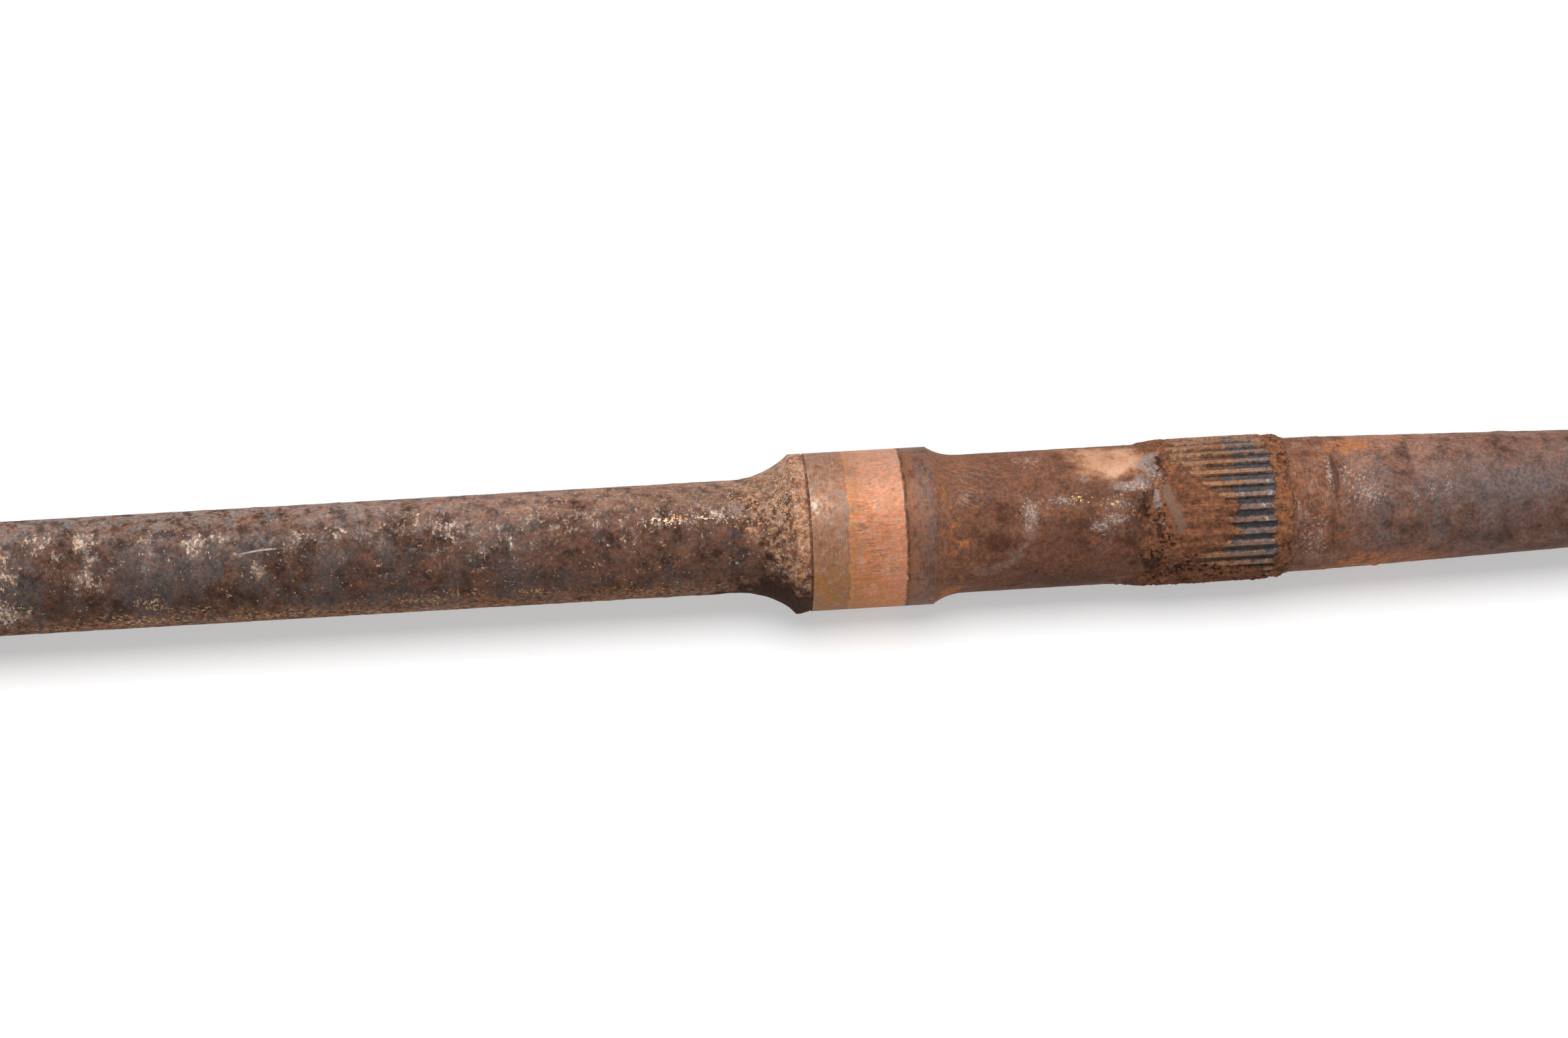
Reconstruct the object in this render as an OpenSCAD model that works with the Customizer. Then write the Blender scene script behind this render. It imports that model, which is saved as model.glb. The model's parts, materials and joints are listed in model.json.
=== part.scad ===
// Rear axle: one solid steel shaft, turned, ground, splined and threaded from a single forging.
// It lies along X with its middle at the origin, and its two halves mirror each other.
// A thin neck joins two bearing journals. Outside each journal come a hub shank, a hub spline,
// a tapered arm and a wheel end with its own spline, thread and split-pin hole.

/* [Neck] */
// Diameter of the neck between the bearings
neck_d = 28.5; // [24:0.1:34]
// Length of the straight neck, from flare to flare
neck_len = 210; // [120:1:320]
// Radius of the flare that rises from the neck to the bearing land
flare_r = 22.5; // [12:0.5:40]

/* [Bearing journals] */
// Diameter of the ground journal and of the land beside it
journal_d = 40; // [38.5:0.1:50]
// Length of the ground journal, for the bearing, its spacer and the seal lip
journal_len = 31; // [15:0.5:60]
// Width of the turned land between the flare and the journal
land_w = 3.2; // [1:0.1:10]
// Width of the grinding groove between the land and the journal
groove_w = 0.6; // [0.3:0.1:3]
// Depth of the grinding groove
groove_depth = 0.25; // [0.1:0.05:1]
// Radius of the fillet that falls from the journal to the hub shank
shoulder_r = 13.5; // [6:0.5:30]

/* [Hub shanks] */
// Diameter of the shank under the hub's boss
shank_d = 35; // [30:0.1:38]
// Length of the shank, from the fillet to the hub spline
shank_len = 51; // [20:1:100]

/* [Hub splines] */
// Number of teeth that drive the hub
hub_teeth = 36; // [32:1:36]
// Length of the hub spline
hub_spline_len = 28; // [12:1:60]
// Width of the relief outside the hub spline
relief_len = 14; // [4:0.5:30]
// How far the relief lies below the roots of the hub spline
relief_gap = 0.2; // [0.05:0.05:1]

/* [Tapered arms] */
// Step from the relief down to the thick end of the arm
arm_step = 0.1; // [0:0.05:0.6]
// Length of the taper
arm_len = 92; // [40:1:200]
// Length of the straight stretch between the taper and the wheel spline
arm_end_len = 45; // [10:1:120]

/* [Wheel ends] */
// Number of teeth that drive the wheel hub
wheel_teeth = 26; // [24:1:28]
// Length of the wheel spline
wheel_spline_len = 46; // [20:1:80]
// Height of the shoulder that the wheel hub stops against
hub_stop = 0.75; // [0.3:0.05:2]
// Outside diameter of the wheel nut's thread
thread_d = 20; // [14:0.5:22]
// Length of the thread, with its run-out groove
thread_len = 31; // [18:1:50]
// Width of the thread's run-out groove
runout_w = 3; // [1:0.5:6]
// Depth of the thread's run-out groove
runout_depth = 1.2; // [0.5:0.1:2]
// Chamfer on the end of the thread
end_chamfer = 1.5; // [0.5:0.1:3]
// Diameter of the split-pin hole
pin_hole_d = 4.2; // [2:0.1:6]
// Distance from the end of the axle to the split-pin hole
pin_hole_inset = 8; // [6:0.5:12]
// Width of the lathe centre's countersink in the end face
centre_d = 7; // [3:0.1:9]

/* [Spline form] */
// Module of both splines: pitch diameter divided by teeth
spline_module = 1; // [0.8:0.05:1.02]
// Pressure angle of the tooth flanks
pressure_angle = 30; // [20:1:37]
// Chamfer on the ends of the teeth, measured down the tooth
tooth_chamfer = 0.8; // [0.2:0.1:1.2]

/* [Hidden] */
$fn = 96;

// Steps along each tooth flank
FLANK_STEPS = 2;
// Extra reach of a cutting shape past the surface that it cuts
CUT = 1;
// Depth of the solid core below the roots of a spline
CORE_DEPTH = 1;
// Included angle of a lathe centre
CENTRE_ANGLE = 60;

neck_r = neck_d / 2;
journal_r = journal_d / 2;
shank_r = shank_d / 2;
thread_r = thread_d / 2;

// A flat-root spline: the tip stands half a module out, and the root lies three quarters in
function pitch_r(teeth) = teeth * spline_module / 2;
function tip_r(teeth) = pitch_r(teeth) + spline_module / 2;
function root_r(teeth) = pitch_r(teeth) - 0.75 * spline_module;

relief_r = root_r(hub_teeth) - relief_gap;
arm_inner_r = relief_r - arm_step;
arm_outer_r = tip_r(wheel_teeth) + hub_stop;

// Length of a quarter-round's run where it climbs by a given height
function arc_run(radius, height) = sqrt(radius * radius - pow(radius - height, 2));

// Places along the right-hand half, from the middle outwards
flare_x = neck_len / 2;
land_x = flare_x + arc_run(flare_r, journal_r - neck_r);
groove_x = land_x + land_w;
journal_x = groove_x + groove_w;
shoulder_x = journal_x + journal_len;
shank_x = shoulder_x + arc_run(shoulder_r, journal_r - shank_r);
hub_spline_x = shank_x + shank_len;
relief_x = hub_spline_x + hub_spline_len;
arm_x = relief_x + relief_len;
arm_end_x = arm_x + arm_len;
wheel_spline_x = arm_end_x + arm_end_len;
thread_x = wheel_spline_x + wheel_spline_len;
end_x = thread_x + thread_len;

// Involute function, in radians, of an angle in degrees
function involute(angle) = tan(angle) - angle * PI / 180;

// Half the angle that a tooth spans at a radius, in degrees
function half_tooth(teeth, r) =
    let (base_r = pitch_r(teeth) * cos(pressure_angle))
    90 / teeth + (involute(pressure_angle) - involute(acos(base_r / r))) * 180 / PI;

// Radius at each step up a flank, from root to tip
function flank_r(teeth, step) =
    root_r(teeth) + (tip_r(teeth) - root_r(teeth)) * step / FLANK_STEPS;

// One tooth as [radius, angle] points: up one flank and down the other
function tooth(teeth) = concat(
    [for (i = [0:FLANK_STEPS]) let (r = flank_r(teeth, i)) [r, -half_tooth(teeth, r)]],
    [for (i = [FLANK_STEPS:-1:0]) let (r = flank_r(teeth, i)) [r, half_tooth(teeth, r)]]
);

// Cross-section of a spline, with every tooth
module spline_section(teeth) {
    polygon([
        for (t = [0:teeth - 1], p = tooth(teeth))
            let (angle = p[1] + t * 360 / teeth)
            p[0] * [cos(angle), sin(angle)]
    ]);
}

// A spline that stands on z = 0, with the ends of its teeth chamfered
module spline(teeth, length) {
    tip = tip_r(teeth);
    low = tip - tooth_chamfer;
    // The chamfer runs out at about 30 degrees to the axis, as a hob leaves it
    slope = tooth_chamfer / tan(30);
    intersection() {
        linear_extrude(length) spline_section(teeth);
        rotate_extrude() polygon([
            [0, 0], [low, 0], [tip, slope], [tip, length - slope], [low, length], [0, length]
        ]);
    }
}

// Half of the turned outline as [radius, distance along the axle], without its two fillets
module turned_outline() {
    polygon([
        [0, 0],
        [neck_r, 0],
        [neck_r, flare_x],
        [journal_r, flare_x],
        [journal_r, groove_x],
        [journal_r - groove_depth, groove_x],
        [journal_r - groove_depth, journal_x],
        [journal_r, journal_x],
        [journal_r, shank_x],
        [shank_r, shank_x],
        [shank_r, hub_spline_x],
        [root_r(hub_teeth) - CORE_DEPTH, hub_spline_x],
        [root_r(hub_teeth) - CORE_DEPTH, relief_x],
        [relief_r, relief_x],
        [relief_r, arm_x],
        [arm_inner_r, arm_x],
        [arm_outer_r, arm_end_x],
        [arm_outer_r, wheel_spline_x],
        [root_r(wheel_teeth) - CORE_DEPTH, wheel_spline_x],
        [root_r(wheel_teeth) - CORE_DEPTH, thread_x],
        [thread_r - runout_depth, thread_x],
        [thread_r - runout_depth, thread_x + runout_w],
        [thread_r, thread_x + runout_w],
        [thread_r, end_x - end_chamfer],
        [thread_r - end_chamfer, end_x],
        [0, end_x]
    ]);
}

// The round side of a fillet tool: a disc that touches a shaft of radius r at one place along it,
// cut down to the side from x0 to x1 where the fillet lies
module fillet_cut(radius, r, touch_x, x0, x1) {
    intersection() {
        translate([r + radius, touch_x]) circle(radius);
        translate([r, x0]) square([2 * radius, x1 - x0]);
    }
}

// The right-hand half as it leaves the lathe, along +Z
module turned_half() {
    rotate_extrude() difference() {
        turned_outline();
        fillet_cut(flare_r, neck_r, flare_x, flare_x, land_x);
        fillet_cut(shoulder_r, shank_r, shank_x, shoulder_x, shank_x);
    }
}

// The lathe centre's countersink, in the end face
module centre_hole() {
    depth = centre_d / 2 / tan(CENTRE_ANGLE / 2);
    reach = CUT * tan(CENTRE_ANGLE / 2);
    translate([0, 0, end_x - depth])
        cylinder(h = depth + CUT, r1 = 0, r2 = centre_d / 2 + reach);
}

// The hole for the wheel nut's split pin, straight through the thread
module pin_hole() {
    translate([0, 0, end_x - pin_hole_inset])
        rotate([90, 0, 0])
        cylinder(h = thread_d + 2 * CUT, d = pin_hole_d, center = true);
}

// The right-hand half with its splines and holes, along +Z
module half_axle() {
    difference() {
        union() {
            turned_half();
            translate([0, 0, hub_spline_x]) spline(hub_teeth, hub_spline_len);
            translate([0, 0, wheel_spline_x]) spline(wheel_teeth, wheel_spline_len);
        }
        centre_hole();
        pin_hole();
    }
}

// The whole axle, along X
module axle() {
    color("saddlebrown")
    for (side = [0, 1])
        mirror([side, 0, 0]) rotate([0, 90, 0]) half_axle();
}

axle();
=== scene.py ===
import json
import math

import bmesh
import bpy
import numpy as np
from mathutils import Matrix, Vector, noise

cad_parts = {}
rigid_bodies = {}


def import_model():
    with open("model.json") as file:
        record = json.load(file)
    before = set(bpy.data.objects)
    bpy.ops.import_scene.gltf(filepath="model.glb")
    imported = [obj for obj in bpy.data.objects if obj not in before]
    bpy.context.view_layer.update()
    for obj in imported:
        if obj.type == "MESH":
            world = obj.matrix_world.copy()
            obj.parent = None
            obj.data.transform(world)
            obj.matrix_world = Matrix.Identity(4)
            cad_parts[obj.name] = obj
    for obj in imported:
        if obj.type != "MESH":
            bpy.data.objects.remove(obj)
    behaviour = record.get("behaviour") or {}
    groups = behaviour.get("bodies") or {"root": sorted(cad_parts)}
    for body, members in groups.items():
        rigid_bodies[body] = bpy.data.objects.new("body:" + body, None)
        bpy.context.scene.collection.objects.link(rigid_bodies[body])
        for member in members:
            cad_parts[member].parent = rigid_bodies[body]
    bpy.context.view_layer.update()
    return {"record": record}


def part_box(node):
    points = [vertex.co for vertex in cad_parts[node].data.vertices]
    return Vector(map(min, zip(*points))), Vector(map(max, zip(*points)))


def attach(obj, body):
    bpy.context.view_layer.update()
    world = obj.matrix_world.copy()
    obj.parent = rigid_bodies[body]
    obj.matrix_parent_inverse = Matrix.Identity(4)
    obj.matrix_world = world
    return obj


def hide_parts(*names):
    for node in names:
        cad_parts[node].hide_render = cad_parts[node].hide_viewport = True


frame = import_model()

# Neck
# The thin middle of the axle: forged steel, turned down between the two bearings to save weight.
# Brown rust scale covers it, with flakes of dried mud and bright specks. Along its shine line the flakes and
# specks are partly painted highlights, and its top is painted paler as top light.
MM = 0.001
NECK_R = 14.25
NECK_LENGTH = 210.0
NECK_RING = 1.6
ROUND_STEPS = 108
SCRATCH_END = -8.6
SCRATCH_TURN = 55.2
SCRATCH_BEND = 0.045

SCALE_DARK = (0.052, 0.026, 0.019)
SCALE_GAP = (0.040, 0.019, 0.014)
SCALE_BROWN = (0.092, 0.046, 0.033)
SCALE_LIGHT = (0.145, 0.075, 0.054)
SCALE_SLATE = (0.088, 0.073, 0.073)
SCALE_RUST = (0.220, 0.096, 0.047)
SCALE_TOP_SHEEN = (0.340, 0.188, 0.136)
SCALE_BLUE_SHEEN = (0.225, 0.200, 0.200)
SCALE_RED = (0.165, 0.074, 0.049)
SCALE_LOW_BOUNCE = (0.420, 0.178, 0.080)
PINK_DUST_AND_SHEEN = (0.500, 0.355, 0.290)
FLAKE_HAZE_AND_SHEEN = (0.190, 0.138, 0.120)
FLAKE_GREY_AND_SHEEN = (0.270, 0.195, 0.165)
CREAM_FLAKE_AND_SHEEN = (0.700, 0.520, 0.405)
FLAKE_RUSTY = (0.440, 0.285, 0.200)
SPECK_YELLOW = (0.680, 0.410, 0.190)
SCRATCH = (0.520, 0.420, 0.360)

axle = bmesh.new()


def spread(start, end, step):
    """Places from start to end, evenly spaced and no further apart than step."""
    return np.linspace(start, end, max(2, math.ceil((end - start) / step) + 1))


def eased(value, low, high):
    """0 at low and 1 at high, eased between the two."""
    share = min(1.0, max(0.0, (value - low) / (high - low)))
    return share * share * (3 - 2 * share)


def turned(outline, steps, left=False, first_turn=90.0, climb=0.0, worked=None):
    """Spin an outline of (mm along, mm out) about the axle and add the strip to it.

    The left end is the right one turned about. Worked gives a point's radius from its place, its turn and
    the radius that it was spun at."""
    strip = bmesh.new()
    lift = math.radians(first_turn)
    corners = []
    for along, out in outline:
        corners.append(strip.verts.new((along * MM, -out * MM * math.cos(lift), out * MM * math.sin(lift))))
    edges = [strip.edges.new(pair) for pair in zip(corners, corners[1:])]
    bmesh.ops.spin(strip, geom=corners + edges, cent=(0, 0, 0), axis=(1, 0, 0), angle=math.tau, steps=steps,
                   dvec=(climb * MM / steps, 0, 0), use_merge=climb == 0)
    if left:
        bmesh.ops.rotate(strip, verts=strip.verts, cent=(0, 0, 0), matrix=Matrix.Rotation(math.pi, 3, "Z"))
    if worked:
        for v in strip.verts:
            out = math.hypot(v.co.y, v.co.z)
            turn = math.degrees(math.atan2(v.co.z, -v.co.y))
            scale = worked(v.co.x / MM, turn, out / MM) * MM / out
            v.co.y *= scale
            v.co.z *= scale
    made = bpy.data.meshes.new("strip")
    strip.to_mesh(made)
    strip.free()
    axle.from_mesh(made)
    bpy.data.meshes.remove(made)


neck_end = NECK_LENGTH / 2
turned([(along, NECK_R) for along in spread(-neck_end, neck_end, NECK_RING)], ROUND_STEPS)

# The finish is one coat over the whole axle. Each section adds its own layers to the colour, the dullness,
# the share of bare metal and the rise of the surface in millimetres.
rusted_steel = bpy.data.materials.new("rusted_steel")
rusted_steel.use_nodes = True
tree = rusted_steel.node_tree
place = tree.nodes.new("ShaderNodeTexCoord").outputs["Object"]


def feed(socket, value):
    """Link a socket's value, or set a plain one."""
    if isinstance(value, bpy.types.NodeSocket):
        tree.links.new(value, socket)
    elif socket.type == "RGBA":
        socket.default_value = (*value, 1.0)
    else:
        socket.default_value = value


def sums(kind, first, second=0.0):
    node = tree.nodes.new("ShaderNodeMath")
    node.operation = kind
    feed(node.inputs[0], first)
    feed(node.inputs[1], second)
    return node.outputs[0]


def times(first, *others):
    for other in others:
        first = sums("MULTIPLY", first, other)
    return first


def plus(first, *others):
    for other in others:
        first = sums("ADD", first, other)
    return first


def minus(first, second):
    return sums("SUBTRACT", first, second)


def ease(value, low, high):
    """0 at low and 1 at high, eased between the two, as a layer of the finish."""
    node = tree.nodes.new("ShaderNodeMapRange")
    node.interpolation_type = "SMOOTHSTEP"
    feed(node.inputs["Value"], value)
    feed(node.inputs["From Min"], low)
    feed(node.inputs["From Max"], high)
    return node.outputs["Result"]


def between(value, start, full, fade, end):
    """1 from full to fade, eased to 0 at start and at end."""
    return times(ease(value, start, full), ease(value, end, fade))


def over(under, top, cover, share=1.0, blend="MIX"):
    """One colour laid over another, as thick as a share of its cover."""
    node = tree.nodes.new("ShaderNodeMix")
    node.data_type = "RGBA"
    node.blend_type = blend
    feed(node.inputs[0], cover if share == 1.0 else times(cover, share))
    feed(node.inputs[6], under)
    feed(node.inputs[7], top)
    return node.outputs[2]


def worn(under, top, cover):
    """One plain value laid over another."""
    node = tree.nodes.new("ShaderNodeMix")
    feed(node.inputs[0], cover)
    feed(node.inputs[2], under)
    feed(node.inputs[3], top)
    return node.outputs[0]


def toned(value, dark, middle, light, low=0.40, high=0.60):
    """Three tones of one finish, mottled by a noise."""
    return over(over(dark, middle, ease(value, low, 0.5)), light, ease(value, 0.5, high))


def sized(size, shift, pull=(1, 1, 1), slant=0.0):
    """The place on the axle, counted in lumps of about size mm."""
    slanted = tree.nodes.new("ShaderNodeVectorRotate")
    slanted.rotation_type = "Z_AXIS"
    feed(slanted.inputs["Vector"], place)
    feed(slanted.inputs["Angle"], math.radians(slant))
    mapping = tree.nodes.new("ShaderNodeMapping")
    feed(mapping.inputs["Vector"], slanted.outputs["Vector"])
    feed(mapping.inputs["Scale"], [1 / (MM * size * p) for p in pull])
    feed(mapping.inputs["Location"], (shift, shift * 1.7, shift * 0.6))
    return mapping.outputs["Vector"]


def mottle(size, detail=4.0, roughness=0.6, pull=(1, 1, 1), shift=0.0, slant=0.0):
    """Cloudy noise with lumps of about size mm, pulled out along X, Y and Z, and slanted across the top."""
    cloud = tree.nodes.new("ShaderNodeTexNoise")
    feed(cloud.inputs["Vector"], sized(size, shift, pull, slant))
    feed(cloud.inputs["Scale"], 1.0)
    feed(cloud.inputs["Detail"], detail)
    feed(cloud.inputs["Roughness"], roughness)
    return cloud.outputs["Fac"]


def swing(cloud, depth):
    """A noise as a swing to both sides of zero."""
    return times(plus(cloud, -0.5), depth)


def grains(size, shift=0.0):
    """Packed grains of about size mm: how far from its grain's middle a point is, and a number per grain."""
    cells = tree.nodes.new("ShaderNodeTexVoronoi")
    feed(cells.inputs["Vector"], sized(size, shift))
    feed(cells.inputs["Scale"], 1.0)
    numbers = tree.nodes.new("ShaderNodeSeparateColor")
    feed(numbers.inputs[0], cells.outputs["Color"])
    return cells.outputs["Distance"], numbers.outputs[0]


def tinted(under, tint, cover):
    """A colour stained by a thin tint."""
    return over(under, tint, cover, blend="MULTIPLY")


def painted(kind):
    """The cover of a mark that is dabbed on by place."""
    node = tree.nodes.new("ShaderNodeAttribute")
    node.attribute_name = kind
    return node.outputs["Fac"]


def held(kind, cover):
    """A layer that shows only where its mark is dabbed."""
    return times(cover, ease(painted(kind), 0.03, 0.25))


def ragged(kind, cloud, depth, low, high):
    """The cover of a dabbed mark whose edge is broken up by a noise."""
    return held(kind, ease(plus(painted(kind), swing(cloud, depth)), low, high))


marks = {}


def dabs(kind, *spots):
    """Soft oval marks: mm along the axle, degrees up from its front, half the size each way, and strength."""
    marks.setdefault(kind, []).extend(spots)


apart = tree.nodes.new("ShaderNodeSeparateXYZ")
feed(apart.inputs[0], place)
along_mm = times(apart.outputs["X"], 1 / MM)
out_mm = sums("ABSOLUTE", along_mm)
across = apart.outputs["Y"]
upward = apart.outputs["Z"]
radius_mm = times(sums("SQRT", plus(times(across, across), times(upward, upward))), 1 / MM)
up_share = sums("DIVIDE", times(upward, 1 / MM), radius_mm)
back_share = sums("DIVIDE", times(across, 1 / MM), radius_mm)

tone = mottle(4.5, 8, 0.64)
clouds = mottle(15, 7, 0.62, shift=3)
grain = mottle(1.4, 5, 0.62, shift=5)
chips = mottle(1.6, 6, 0.70, pull=(0.9, 1.25, 1.1), shift=11)
specks = mottle(0.85, 6, 0.68, shift=17)
bristles = mottle(0.9, 6, 0.68, pull=(0.9, 1.25, 1.1), shift=19)
patches = mottle(3.0, 6, 0.65, shift=23)

# Topside and underside are the upper and lower faces. Paler layers laid on the topside are painted top light;
# warmer layers laid on the underside of the neck and journal are partly painted warm floor bounce.
topside = times(ease(plus(back_share, swing(clouds, 2.0)), -0.75, 0.45), ease(up_share, 0.30, 0.72))
underside = ease(up_share, 0.10, -0.60)
skin = toned(tone, SCALE_DARK, SCALE_BROWN, SCALE_LIGHT, 0.38, 0.62)
skin = over(skin, SCALE_SLATE, ease(plus(clouds, times(ease(along_mm, 70, -40), 0.03)), 0.47, 0.60), 0.65)
skin = over(skin, SCALE_RED, times(ease(along_mm, 0, 70), ease(tone, 0.40, 0.60)), 0.55)
# Painted top light: the neck's upper face is laid paler brown and blue-grey, partly paler rust and partly
# painted sheen of the light from above.
top_break = ease(plus(patches, times(ease(along_mm, -30, 50), 0.07)), 0.38, 0.50)
top_sheen_cover = times(topside, ease(tone, 0.32, 0.56), top_break)
skin = over(skin, SCALE_TOP_SHEEN, top_sheen_cover, 0.90)
blue_top_sheen = times(topside, ease(along_mm, 60, 15), ease(patches, 0.47, 0.56))
skin = over(skin, SCALE_BLUE_SHEEN, blue_top_sheen, 0.75)
# The underside is laid lighter orange: partly rust, partly painted warm bounce light from the floor.
skin = over(skin, SCALE_LOW_BOUNCE, times(underside, ease(grain, 0.44, 0.57)), 0.75)
skin = over(skin, SCALE_RUST, times(ease(patches, 0.56, 0.68), ease(along_mm, 20, 90)), 0.45)
pitch_cover = ease(plus(patches, times(painted("pitch"), 0.20)), 0.63, 0.71)
skin = over(skin, SCALE_GAP, pitch_cover, 0.80)
# The flakes are dabbed mostly along the neck's shine line: pale flakes of dried mud, partly painted
# highlights where the light from above glances off, with a painted sheen haze round them.
flake_and_sheen_place = painted("flakes_and_sheen")
sheen_haze_cover = ease(plus(flake_and_sheen_place, swing(patches, 2.6)), 0.30, 0.95)
flake_rise = plus(worn(chips, patches, 0.6), times(flake_and_sheen_place, 0.130))
flake_halo = ease(flake_rise, 0.575, 0.645)
crumbs_rise = plus(worn(chips, bristles, 0.55), times(flake_and_sheen_place, 0.112))
flake_and_sheen_cover = ease(crumbs_rise, 0.610, 0.645)
flake = over(CREAM_FLAKE_AND_SHEEN, FLAKE_RUSTY, ease(grain, 0.46, 0.56))
skin = over(skin, FLAKE_HAZE_AND_SHEEN, sheen_haze_cover, 0.42)
skin = over(skin, FLAKE_GREY_AND_SHEEN, flake_halo, 0.65)
skin = over(skin, flake, flake_and_sheen_cover, 0.88)
# Pale pink specks on the upper face: partly dust, partly painted highlights of the light from above.
dust_and_sheen_place = times(ease(up_share, 0.58, 0.90), ease(patches, 0.44, 0.58))
dust_and_sheen_cover = times(ease(bristles, 0.52, 0.60), dust_and_sheen_place, ease(along_mm, -90, 60))
skin = over(skin, PINK_DUST_AND_SHEEN, dust_and_sheen_cover, 0.55)
yellow_cover = ease(plus(specks, times(painted("yellow"), 0.128)), 0.652, 0.708)
skin = over(skin, SPECK_YELLOW, yellow_cover, 0.85)
turn_deg = times(sums("ARCTAN2", upward, times(across, -1)), 180 / math.pi)
scratch_run = minus(SCRATCH_END, along_mm)
scratch_turn = minus(SCRATCH_TURN, times(scratch_run, scratch_run, SCRATCH_BEND))
scratch_off = sums("ABSOLUTE", minus(turn_deg, scratch_turn))
scratch_long = between(scratch_run, -0.4, 0.6, 5.0, 12.0)
scratch_cover = times(ease(scratch_off, 1.1, 0.5), scratch_long, ease(grain, 0.36, 0.46))
skin = over(skin, SCRATCH, scratch_cover, 0.9)
dull = worn(worn(0.70, 0.55, ease(clouds, 0.46, 0.58)), 0.42, flake_halo)
metal = times(flake_halo, 0.15)
rise = plus(times(tone, 0.40), times(flake_halo, 0.05))

# Flakes, dabbed mostly along the shine line, where they are partly painted highlights.
dabs("flakes_and_sheen", (-67, 77, 4.0, 14, 1.0), (-56.5, 75, 4.2, 15, 1.25), (-54, 55, 3.0, 6, 1.0),
     (-55, 35, 4.0, 14, 1.0), (-62, 62, 2.5, 9, 0.7), (-41, 74, 2.6, 7, 1.15), (-37, 83, 3.5, 4, 0.7),
     (-29, 64, 4.5, 15, 1.25), (-23, 71, 2.6, 9, 1.0), (-42, 57, 9.0, 5, 0.65), (-14, 33, 2.5, 8, 0.8),
     (-11, 60, 5.0, 8, 0.55), (-2.6, 67, 4.0, 9, 0.95), (5.6, 68, 4.5, 9, 0.75), (11, 63, 3.0, 8, 0.65),
     (22, 71, 8.0, 13, 0.45), (33, 69, 4.0, 10, 1.2), (34.5, 57, 2.0, 8, 0.9), (40, 61, 1.6, 8, 0.9),
     (45.6, 66, 1.6, 10, 1.0), (41, 42, 1.6, 10, 0.75), (49, 50, 1.8, 13, 0.95), (53, 63, 2.0, 11, 0.9),
     (50, 30, 1.6, 8, 0.65), (60, 64, 3.0, 8, 0.75), (70.5, 60, 3.0, 8, 0.75), (78, 64, 4.0, 8, 0.7),
     (88, 63, 8.0, 8, 0.75), (101, 66, 7.0, 10, 0.8), (-76, 61, 2.5, 12, 1.25), (-75, 42, 3.0, 15, 1.1),
     (-75.6, 0, 5.0, 22, 1.25), (66, 76, 5.0, 8, 0.5), (27, 84, 6.0, 6, 0.5))
dabs("yellow", (-40, 4, 5, 12, 1.2), (-48.5, -14, 8, 10, 1.1), (-29, -7, 7, 9, 1.1),
     (-62, -30, 14, 12, 1.0), (-12, -26, 24, 14, 1.1), (-42, -22, 20, 14, 1.15), (27, -11, 9, 10, 1.1),
     (37, -4, 8, 10, 1.0), (47, 6, 6, 8, 0.8), (56, -8, 9, 10, 0.9), (20, -34, 40, 12, 1.0),
     (80, -20, 24, 14, 0.8), (86, 14, 6, 8, 0.7))
dabs("pitch", (-71, 72, 5, 10, 1.0), (-47, 70, 5, 8, 1.0), (-33, 77, 6, 6, 1.0), (-18, 63, 6, 5, 1.0),
     (-62, 58, 6, 7, 1.0), (-69, 38, 6, 14, 1.0), (28, 56, 6, 8, 1.0), (30, 82, 10, 5, 1.0))

# Flare and bearing land
# At each end of the neck the shaft swells in one round sweep to the land, the turned collar that stops the
# bearing. A narrow groove parts land and journal. Grease and dirt have gathered black under the flare.
mounts = {m["name"]: m for m in frame["record"]["mounts"]}
journal_mount = mounts["bearing_journal_right"]
JOURNAL_R = journal_mount["dims"]["r_mm"]
FLARE_RADIUS = 22.5
LAND_WIDTH = 3.2
GROOVE_WIDTH = 0.6
GROOVE_DEPTH = 0.25
GROOVE_SLOPE = 0.12
FLARE_RINGS = 16

FLARE_DARK = (0.080, 0.039, 0.026)
FLARE_TAN = (0.235, 0.118, 0.073)
FLARE_LIGHT = (0.470, 0.275, 0.190)
LAND_DARK = (0.210, 0.093, 0.056)
LAND_TAN = (0.385, 0.183, 0.110)
LAND_LIGHT = (0.580, 0.335, 0.220)
GRAIN_TAN = (0.520, 0.300, 0.185)
GRAIN_GOLD = (0.660, 0.360, 0.130)
WHITE_GLINT = (0.860, 0.740, 0.640)
GLINT_GOLD = (0.950, 0.560, 0.300)
GLINT_PINK = (0.860, 0.620, 0.460)
MOSS_GREEN = (0.180, 0.190, 0.070)
GREASE_BLACK = (0.036, 0.016, 0.010)

BOTH_ENDS = (False, True)
flare_sweep = math.acos(1 - (JOURNAL_R - NECK_R) / FLARE_RADIUS)
land_start = neck_end + FLARE_RADIUS * math.sin(flare_sweep)
groove_start = land_start + LAND_WIDTH
journal_start = groove_start + GROOVE_WIDTH
flare = [(neck_end + FLARE_RADIUS * math.sin(a), NECK_R + FLARE_RADIUS * (1 - math.cos(a)))
         for a in np.linspace(0, flare_sweep, FLARE_RINGS)]
land = [(along, JOURNAL_R) for along in (land_start, land_start + 0.3, land_start + 1.2, land_start + 2.2,
                                         groove_start - 0.3, groove_start)]
groove = [(groove_start, JOURNAL_R), (groove_start + GROOVE_SLOPE, JOURNAL_R - GROOVE_DEPTH),
          (journal_start - GROOVE_SLOPE, JOURNAL_R - GROOVE_DEPTH), (journal_start, JOURNAL_R)]
for left in BOTH_ENDS:
    turned(flare, ROUND_STEPS, left)
    turned(land, ROUND_STEPS, left)
    turned(groove, ROUND_STEPS, left)

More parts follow.
